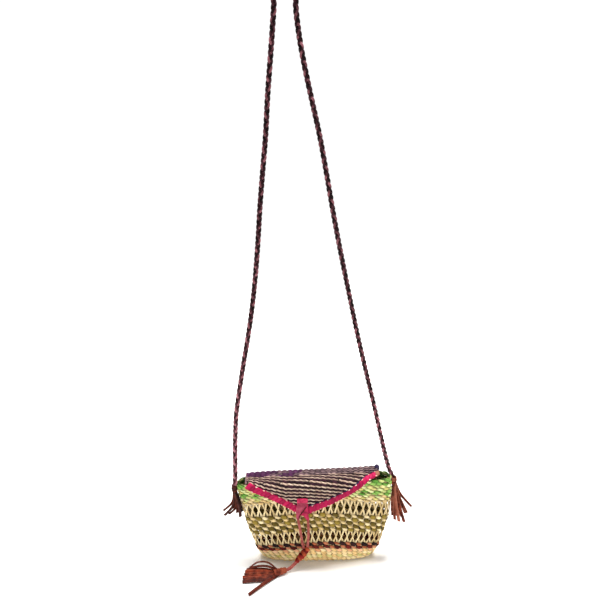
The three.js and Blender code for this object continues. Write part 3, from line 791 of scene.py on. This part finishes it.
edging = {
    "widths": [(-84, 8.0), (0, 8.2), (40, 6.6), (80, 5.2)],  # x, width: it narrows to the right end
    "thickness": 2.6,
    "wrapPitch": 4.9,
    "wrapPoints": 36,
    "shades": (0.2, 0.9),
    "wrapHalf": 2.7,  # half the width of the raffia ribbon, which laps over the next turn
    "ribbon": 0.5,
    "lap": 0.14,
    "faceOut": 2.5,  # the ribbon faces out more than up or down
    "slant": 1.2,
    "ends": (5.0, 2.4),  # from each end of the flap's edge to the first and last turn
    "coralTurns": 1,
    "dotLength": 3.0,
    "dotHalf": 0.8,
    "dotProud": 0.9,
}


def edgingWidth(x):
    return lookUp(edging["widths"], x)


def addFlapRow(heap, x, reach, dye, tall, rope):
    out = flapOut(x, reach)
    addTwine(heap, flapAt(x, reach) + out * flap["thickness"] / 2, out, np.full(len(x), tall),
             (x - flap["left"]) / flap["stitch"], (dye, dye), rope)


def addFlapRuns(heap, x, reach, where, dye, tall, rope):
    inside = np.flatnonzero(where)
    for run in np.split(inside, np.flatnonzero(np.diff(inside) > 1) + 1):
        if len(run) >= 4:
            addFlapRow(heap, x[run], reach[run], dye, tall, rope)


# The rows stop a little short of the flap's two ends
flapHeap = newHeap()
rowX = np.arange(flap["left"] + 0.6, flap["right"] - 0.5, flap["stitch"] / flap["perStitch"])
rowPitch = flap["rowPitch"]
spread = lookUp(flap["spread"], rowX)
covered = edgeReach(rowX) - edgingWidth(rowX) + flap["underEdging"]
backRim = stationReach("backRim", rowX)
ridgeRows = backRim + flap["topRows"] * rowPitch * spread
for row in range(-flap["backRows"], flap["topRows"]):  # up the back and over the ridge
    drift = flap["plumDrift"] * math.sin(2.4 * row)
    plum, dusk = [
        np.any([(rowX > start + drift - lap) & (rowX < end + drift + lap)
                for start, end in flap["plumStretches"]], axis=0)
        for lap in (flap["plumLap"], -flap["plumLap"])]
    reach = backRim + (row + 0.5) * rowPitch * (spread if row >= 0 else 1.0)
    inside = (reach < covered) & (reach > 0.4)
    rowDyes = ("lilacStraw", "mauveStraw") if row % 2 else ("plumStraw", "duskStraw")
    tall = rowPitch * flap["ridgePaleTall" if row % 2 else "ridgeDarkTall"]
    for dye, part in zip(rowDyes, (plum, ~dusk)):
        addFlapRuns(flapHeap, rowX, reach, inside & part, dye, tall, ropes["ridge"])
for row in range(*flap["frontRows"]):  # down the front
    reach = ridgeRows + (row + 0.5) * rowPitch * spread + flap["slope"] * (rowX - flap["left"])
    inside = (reach < covered) & (reach > ridgeRows)
    tall = rowPitch * flap["darkTall" if row % 2 else "paleTall"]
    if row % 2:
        addFlapRuns(flapHeap, rowX, reach, inside, "aubergineStraw", tall, ropes["flap"])
        continue
    # Near the ridge the cream rows take the darker cream copy, as painted shade on the flap's top.
    nearRidge = reach < ridgeRows + flap["shadedCreamReach"]
    for dye, part in (("oatStraw", nearRidge), ("creamStraw", ~nearRidge)):
        addFlapRuns(flapHeap, rowX, reach, inside & part, dye, tall, ropes["flap"])

# A dark row and a thin cream one follow the right edging's upper margin
marginX = np.arange(flap["tip"] + 3, flap["right"] - 1, flap["stitch"] / flap["perStitch"])
margin = edgeReach(marginX) - edgingWidth(marginX)
for dye, drop, tall in (("navyStraw", 1.0, 2.2), ("creamStraw", -0.9, 1.5)):
    addFlapRow(flapHeap, marginX, margin - drop, dye, tall, ropes["ridge"])

# The two ends of the rows are bound by a cord, which ends in a knob on the right ridge
selvage = flap["selvage"]
for x, dye in ((flap["left"], "mauveStraw"), (flap["right"], "navyStraw")):
    reach = np.arange(0.6, edgeReach(x) - edgingWidth(x) / 2, 0.8)
    here = np.full(len(reach), x - selvage["knobIn"] if x > 0 else x)
    out = flapOut(here, reach)
    half = np.full(len(reach), selvage["half"])
    if x > 0:
        knobAt = stationReach("ridge", x) + selvage["knobAhead"]
        near = np.clip(1 - np.abs(reach - knobAt) / selvage["knobLength"], 0, 1)
        half += (selvage["knob"] - selvage["half"]) * np.sin(np.pi / 2 * near)
    addStrand(flapHeap, flapAt(here, reach) + out * flap["thickness"] / 2, out, half, half, dye, sides=10)
heapPiece("flap_weave", flapHeap, "flap_straw", "flap")
print("flap woven")

# Edging: a magenta raffia ribbon wound over the two slanting edges, with pale ends between its turns
edgeX = np.arange(flap["left"], flap["right"] + 0.1, 0.8)
edgeLine = edgeReach(edgeX) - edgingWidth(edgeX) / 2
edgeOut = flapOut(edgeX, edgeLine)
edgeMiddle = flapAt(edgeX, edgeLine) + edgeOut * edging["thickness"] / 2
edgeWalk = walkAlong(edgeMiddle)
edgeUp = unit(np.cross(edgeOut, heading(edgeMiddle)))


def alongEdge(walk):
    return [pointsAt(walk, edgeWalk, field) for field in (edgeMiddle, edgeOut, edgeUp)]


def addWrap(heap, walk, dye):
    angle = np.linspace(0.0, 2 * np.pi, edging["wrapPoints"], endpoint=False)
    across, proud = signedPower(np.cos(angle), 0.8), signedPower(np.sin(angle), 0.5)  # a flat oval
    middle, out, up = alongEdge(walk + edging["slant"] * across)
    line = (middle + up * (edgingWidth(middle[:, 0]) / 2 * across)[:, None]
            + out * (edging["thickness"] / 2 * proud)[:, None])
    away = unit(up * np.cos(angle)[:, None] + out * np.sin(angle)[:, None] * edging["faceOut"])
    away = away + unit(np.cross(away, heading(line, True))) * edging["lap"]  # each turn laps over the next
    addStrand(heap, line, away, edging["ribbon"], edging["wrapHalf"], dye, shadeIn(*edging["shades"]),
              closed=True, sides=12, square=0.5)


def addDot(heap, walk, side):
    t = np.linspace(-0.5, 0.5, 5)
    middle, out, up = alongEdge(walk + t * edging["dotLength"])
    line = middle + out * edging["dotProud"] + up * side * edgingWidth(middle[:, :1]) / 2
    half = edging["dotHalf"] * np.sqrt(1.05 - (2 * t) ** 2)
    addStrand(heap, line, out, half, half, "rosePaleRaffia", draw.random(), sides=6)


edgingHeap = newHeap()
wrapCount = int(edgeWalk[-1] / edging["wrapPitch"])
for wrap in range(wrapCount):
    middleWalk = edging["ends"][0] + wrap * (edgeWalk[-1] - sum(edging["ends"])) / (wrapCount - 1)
    isCoral = wrap >= wrapCount - edging["coralTurns"]
    addWrap(edgingHeap, middleWalk, "coralRaffia" if isCoral else "magentaRaffia")
    if wrap % 2:
        for side in (-1, 1):
            addDot(edgingHeap, middleWalk + edging["wrapPitch"] / 2 + side * edging["slant"], side)
heapPiece("flap_edging_raffia", edgingHeap, "raffia", "flap_edging")
print("edging wound")


# Leather pieces modelled by hand: each takes its dye and tone, and a few are joined to one piece.
def finishLeather(obj, dye, shade, *modifiers):
    onlyActive(obj)
    for kind, settings in modifiers:
        modifier = obj.modifiers.new(kind, kind)
        for name, value in settings.items():
            setattr(modifier, name, value)
        bpy.ops.object.modifier_apply(modifier=modifier.name)
    bpy.ops.object.transform_apply(location=True, rotation=True, scale=True)
    bpy.ops.object.mode_set(mode="EDIT")
    bpy.ops.mesh.select_all(action="SELECT")
    bpy.ops.mesh.normals_make_consistent(inside=False)
    bpy.ops.object.mode_set(mode="OBJECT")
    bpy.ops.object.shade_smooth_by_angle(angle=math.radians(50))
    obj.data.materials.clear()
    obj.data.materials.append(finishes[dye])
    tone = obj.data.attributes.new("shade", "FLOAT", "POINT")
    tone.data.foreach_set("value", np.full(len(obj.data.vertices), shade, np.float32))


def joinLeather(name, pieces, slot, *nodes):
    onlyActive(pieces[0])
    for piece in pieces[1:]:
        piece.select_set(True)
    bpy.ops.object.join()
    pieces[0].name = name
    dressPiece(pieces[0], slot, *nodes)
    return pieces[0]


# Closure: a pink leather lark's head over the flap's tip. Its bar crosses the flap, and two flat
# folds narrow from it into the hanging laces. Stations are x, y, z and the lace's width there.
closure = {
    "bar": {"at": (-15.1, -22.2, 95.8), "size": (13.0, 3.0, 4.9), "cuts": 5, "arch": 1.0, "round": 0.9},
    "foldThickness": 1.3,
    "foldRound": 0.4,
    "upperFold": [(-15.4, -22.4, 94.0, 11.4), (-16.5, -24.8, 87.5, 12.4), (-19.1, -25.7, 81.5, 7.6),
                  (-20.4, -25.4, 76.5, 4.4), (-20.6, -24.7, 71.5, 3.4)],
    # A thin dark strip along the upper fold's right edge: partly the fold's turned edge, partly painted
    # shadow under that edge.
    "turnedEdgeShadow": [(-10.2, -25.4, 89.5, 1.2), (-14.4, -26.4, 83.9, 1.4), (-17.8, -26.3, 78.9, 1.2),
                   (-19.2, -25.7, 75.0, 0.8)],
    "lowerFold": [(-12.8, -22.8, 92.0, 9.0), (-12.9, -24.1, 84.0, 9.6), (-11.6, -24.7, 77.5, 7.4),
                  (-9.2, -24.6, 73.0, 4.4), (-8.4, -24.4, 69.5, 3.2)],
}


def foldLace(stations, dye, shade):
    bpy.ops.object.select_all(action="DESELECT")
    bpy.ops.mesh.primitive_plane_add(size=0.001)
    lace = bpy.context.object
    bpy.ops.object.mode_set(mode="EDIT")
    shape = bmesh.from_edit_mesh(lace.data)
    for vertex in shape.verts:
        vertex.select_set(vertex.co.y > 0)
    shape.select_flush_mode()
    bpy.ops.mesh.delete(type="VERT")  # leaves one edge along x, 1 mm long
    bpy.ops.mesh.select_all(action="SELECT")
    *begin, width = stations[0]
    at = Vector(place(begin))
    bpy.ops.transform.translate(value=at + Vector((0.0, 0.0005, 0.0)))
    bpy.ops.transform.resize(value=(width, 1.0, 1.0), center_override=at)
    for *station, nextWidth in stations[1:]:
        ahead = Vector(place(station))
        bpy.ops.mesh.extrude_edges_move(TRANSFORM_OT_translate={"value": ahead - at})
        bpy.ops.transform.resize(value=(nextWidth / width, 1.0, 1.0), center_override=ahead)
        at, width = ahead, nextWidth
    bpy.ops.object.mode_set(mode="OBJECT")
    finishLeather(
        lace, dye, shade,
        ("SUBSURF", {"levels": 2, "render_levels": 2, "boundary_smooth": "PRESERVE_CORNERS"}),
        ("SOLIDIFY", {"thickness": closure["foldThickness"] / 1000, "offset": 0.0}),
        ("BEVEL", {"width": closure["foldRound"] / 1000, "segments": 2, "limit_method": "ANGLE"}))
    return lace


def archedBar(bar, dye, shade):
    bpy.ops.object.select_all(action="DESELECT")
    bpy.ops.mesh.primitive_cube_add(size=0.001, location=place(bar["at"]), scale=bar["size"])
    piece = bpy.context.object
    bpy.ops.object.transform_apply(location=True, rotation=True, scale=True)
    bpy.ops.object.mode_set(mode="EDIT")
    bpy.ops.mesh.subdivide(number_cuts=bar["cuts"])
    shape = bmesh.from_edit_mesh(piece.data)
    half = bar["size"][0] / 2000
    middle = place(bar["at"])[0]
    for column in np.linspace(-half, half, bar["cuts"] + 2):
        for vertex in shape.verts:
            vertex.select_set(abs(vertex.co.x - middle - column) < 0.0002)
        shape.select_flush_mode()
        rise = bar["arch"] / 1000 * (1 - (column / half) ** 2)
        bpy.ops.transform.translate(value=(0.0, -rise, rise))  # the bar bows up and forward
    bpy.ops.object.mode_set(mode="OBJECT")
    rounding = {"width": bar["round"] / 1000, "segments": 3, "limit_method": "ANGLE"}
    finishLeather(piece, dye, shade, ("BEVEL", rounding))
    return piece


closureParts = [
    archedBar(closure["bar"], "pinkLeather", 0.7),
    foldLace(closure["upperFold"], "duskyPinkLeather", 0.6),
    # the fold's turned edge, in the darkest tone as painted shadow under the upper fold
    foldLace(closure["turnedEdgeShadow"], "oxbloodLeather", 0.1),
    foldLace(closure["lowerFold"], "pinkLeather", 0.5),
]
joinLeather("closure_knot_folds", closureParts, "pink_leather", "closure_knot")
print("closure folded")

# Turns of leather round a bundle, a flat ring each. A turn has its share of the length, its radius
# and its lean.
wound = {"thick": 1.3, "segments": 28, "sides": 10, "shades": (0.25, 0.75)}


def windTurns(start, end, turns, wide, dyes):
    start, end = Vector(start), Vector(end)
    facing = (end - start).to_track_quat("Z", "Y")
    rings = []
    for number, (share, radius, lean) in enumerate(turns):
        bpy.ops.object.select_all(action="DESELECT")
        bpy.ops.mesh.primitive_torus_add(
            major_radius=radius / 1000, minor_radius=wound["thick"] / 2000,
            major_segments=wound["segments"], minor_segments=wound["sides"])
        ring = bpy.context.object
        bpy.ops.object.mode_set(mode="EDIT")
        bpy.ops.mesh.select_all(action="SELECT")
        bpy.ops.transform.resize(value=(1.0, 1.0, wide / wound["thick"]), center_override=(0, 0, 0))
        bpy.ops.transform.rotate(
            value=math.radians(lean), orient_axis="X", center_override=(0, 0, 0))
        bpy.ops.object.mode_set(mode="OBJECT")
        ring.rotation_euler = facing.to_euler()
        ring.location = place(start.lerp(end, share))
        finishLeather(ring, dyes[number % len(dyes)], shadeIn(*wound["shades"]))
        rings.append(ring)
    return rings


# Strips of the tassels: cut leather, flat, with raw edges
strips = {"thickness": 1.2, "spacing": 1.6, "taper": 0.92}


def addStrip(heap, points, wide, width, dye, shade):
    line = evenSteps(splineThrough(points), strips["spacing"])
    halfWidth = np.linspace(1.0, strips["taper"], len(line)) * width / 2
    addStrand(heap, line, np.cross(wide, heading(line)), strips["thickness"] / 2, halfWidth, dye, shade,
              sides=12, square=0.45, rawEdge=0.5)


def addCore(heap, start, end, radius, dye):
    addStrand(heap, np.linspace(start, end, 6), (0.0, 0.3, 1.0), radius, radius, dye, 0.1, sides=12)


frontTassel = {
    "from": (-36.4, -35, 4.6), "to": (-49.5, -39.8, 4.6), "core": 3.24,
    "turns": [(0.08, 3.1, 3), (0.36, 3.6, -4), (0.64, 3.8, 4), (0.92, 3.6, -3)],
    "turnWidth": 4.2,
    "inset": 0.3, "spread": 0.12, "reach": 2.0, "meanArch": 4.0,
    "bends": [(0.35, 0.6), (0.7, 0.65)],  # share, lift
    "fan": [(-70, 1.0), (-55, 0.25)],  # tip's y, power: 1 is straight, less spreads out near the head
    "shades": (0.15, 0.8),
    "strips": [  # tip x, y, z, arch, width, turn from flat, dye
        (-84, -31.5, 3.2, 1.6, 4.4, 50, "brownLeather"),
        (-86, -35.5, 3.0, 1.2, 4.6, 45, "rustLeather"),
        (-86.5, -40, 2.8, 2.0, 4.6, 40, "brownLeather"),
        (-88.5, -44.5, 2.6, 1.4, 4.6, 40, "rustLeather"),
        (-88, -48, 2.4, 2.0, 4.4, 32, "brownLeather"),
        (-88.5, -51.5, 2.0, 1.2, 4.2, 25, "darkBrownLeather"),
        (-82.5, -30.5, 3.4, 5.5, 3.0, 20, "darkBrownLeather"),
        (-80.5, -28.5, 4.0, 12, 2.4, 10, "darkBrownLeather"),
        (-87.5, -46.5, 2.4, 1.0, 4.2, 30, "brownLeather"),
        (-85, -33.5, 3.0, 0.8, 4.2, 40, "brownLeather"),
        (-80, -73.8, 2.2, 1.5, 4.4, 34, "darkBrownLeather"),
    ],
}
tasselHeap = newHeap()
headFrom, headTo = np.array(frontTassel["from"], float), np.array(frontTassel["to"], float)
addCore(tasselHeap, headFrom, headTo, frontTassel["core"], "darkBrownLeather")
reach = frontTassel["reach"]
for x, y, z, arch, width, turn, dye in frontTassel["strips"]:
    end = np.array([x, y, z], float)
    start = headTo + (headFrom - headTo) * frontTassel["inset"]
    start[1] += np.clip((y - headTo[1]) * frontTassel["spread"], -reach, reach)
    start[2] += np.clip(arch - frontTassel["meanArch"], -reach, reach)
    fan = lookUp(frontTassel["fan"], y)
    bends = [start + (end - start) * (share, share**fan, share) + (0, 0, arch * lift)
             for share, lift in frontTassel["bends"]]
    wide = (0, math.cos(math.radians(turn)), math.sin(math.radians(turn)))
    addStrip(tasselHeap, [start, *bends, end], wide, width, dye, shadeIn(*frontTassel["shades"]))
frontTasselPiece = heapPiece("front_tassel_strips", tasselHeap, "tassel_leather", "front_tassel")
headRings = windTurns(headFrom, headTo, frontTassel["turns"], frontTassel["turnWidth"], ["brownLeather"])
frontHeadPiece = joinLeather("front_tassel_head", headRings, "tassel_leather", "front_tassel")

# Knots that hold the strap's two ends, each with its thong through the wall and its strips
strapTassels = {
    "radius": 3.4,
    "turns": [(0.1, 2.7, 14), (0.5, 3.1, -16), (0.9, 2.7, 12)],
    "turnWidth": 3.6,
    "rootShare": 0.1,
    "facing": (1, -0.6, 0.5),
    "stripWidths": (4.0, 4.6),
    "core": 2.72,
    "thong": (1.2, 1.6),  # half its thickness and width
    "stop": {"half": 2.6, "radius": 2.4},
    "ends": {  # each strip runs from the knot by way of a point to its tip
        "strap_tassel_left": {
            "at": (-97.8, -3.5, 103), "inside": (-79.6, 0, 100.5),
            "dyes": ("darkBrownLeather", "umberLeather"),
            "strips": [
                ((-100.4, -5, 84), (-112, -6, 72)), ((-98.6, -6.5, 82), (-110.5, -8, 66.5)),
                ((-96.3, -8, 79), (-104.8, -8, 68.4)), ((-92.2, -9.5, 81), (-91, -10, 65.7)),
                ((-94.4, -8.5, 82), (-95, -9, 71)), ((-91.4, -8, 84), (-89, -10, 73)),
                ((-97.6, -4.5, 84), (-98.5, -6, 73)), ((-93.4, -6, 85), (-92.5, -8, 72)),
                ((-99.2, -2, 85), (-100.5, -3, 75)),
            ],
        },
        "strap_tassel_right": {
            "at": (98.6, 1.5, 108), "inside": (82.8, 0, 104.2),
            "dyes": ("brownLeather", "russetLeather", "russetLeather"),
            "strips": [
                ((106.5, -1, 90), (121.5, -2, 71)), ((105, -2, 87), (115.5, -4, 63.5)),
                ((105.5, 1, 84), (115, 2, 58.5)), ((103.5, -4, 83), (112.5, -7, 52)),
                ((102, 2, 83), (109.5, 5, 53)), ((100.5, -5, 83), (106, -8, 53.5)),
                ((97.8, -5.5, 84), (100.5, -8, 56.5)), ((98.8, 0, 85), (102, 0, 58)),
                ((101, -2, 82), (110, -2, 56)), ((99.5, -3.5, 82), (103.5, -5, 60)),
                ((97, -6, 84), (97.3, -8, 63)), ((96.8, -5, 86), (96.6, -9, 70)),
            ],
        },
    },
}
for node, tassel in strapTassels["ends"].items():
    endHeap = newHeap()
    knot = np.array(tassel["at"], float)
    radius = strapTassels["radius"]
    low, high = knot - (0, 0, radius), knot + (0, 0, radius)
    addCore(endHeap, low, high, strapTassels["core"], "darkBrownLeather")
    facing = np.array(strapTassels["facing"]) * (np.sign(knot[0]), 1, 1)
    for number, (by, tip) in enumerate(np.array(tassel["strips"], float)):
        root = knot + (by - knot) * strapTassels["rootShare"]
        width = strapTassels["stripWidths"][number % 2]
        dye = tassel["dyes"][number % len(tassel["dyes"])]
        addStrip(endHeap, [root, by, tip], facing, width, dye, draw.random())
    inside = np.array(tassel["inside"], float)
    thong = np.linspace((knot[0], *inside[1:]), inside, 6)
    addStrand(endHeap, thong, (0, 0, 1), *strapTassels["thong"], "brownLeather", square=0.6)
    aside, stopRadius = (0, strapTassels["stop"]["half"], 0), strapTassels["stop"]["radius"]
    addCore(endHeap, inside - aside, inside + aside, stopRadius, "brownLeather")
    heapPiece(node + "_strips", endHeap, "tassel_leather", node)
    rings = windTurns(low, high, strapTassels["turns"], strapTassels["turnWidth"], tassel["dyes"])
    joinLeather(node + "_knot", rings, "tassel_leather", node)
print("tassels tied")

# Lower knot: both laces gathered by a few turns of rust and dark red leather
lowerKnot = {
    "high": (-8.4, -23.4, 27), "low": (-21.8, -27.8, 12.4),
    "turns": [(0.06, 2.4, 20), (0.24, 3.1, -24), (0.43, 3.7, 22),
              (0.62, 3.7, -20), (0.8, 3.1, 22), (0.96, 2.4, -16)],
    "turnWidth": 4.6,
    "dyes": ("oxbloodLeather", "rustLeather"),
    "core": 2.9,
}
knotEnds = lowerKnot["low"], lowerKnot["high"]
knotHeap = newHeap()
addCore(knotHeap, *knotEnds, lowerKnot["core"], "oxbloodLeather")
lowerKnotPiece = heapPiece("closure_lower_knot_core", knotHeap, "knot_leather", "closure_lower_knot")
knotRings = windTurns(*knotEnds, lowerKnot["turns"], lowerKnot["turnWidth"], lowerKnot["dyes"])
knotTurnsPiece = joinLeather("closure_lower_knot_turns", knotRings, "knot_leather", "closure_lower_knot")
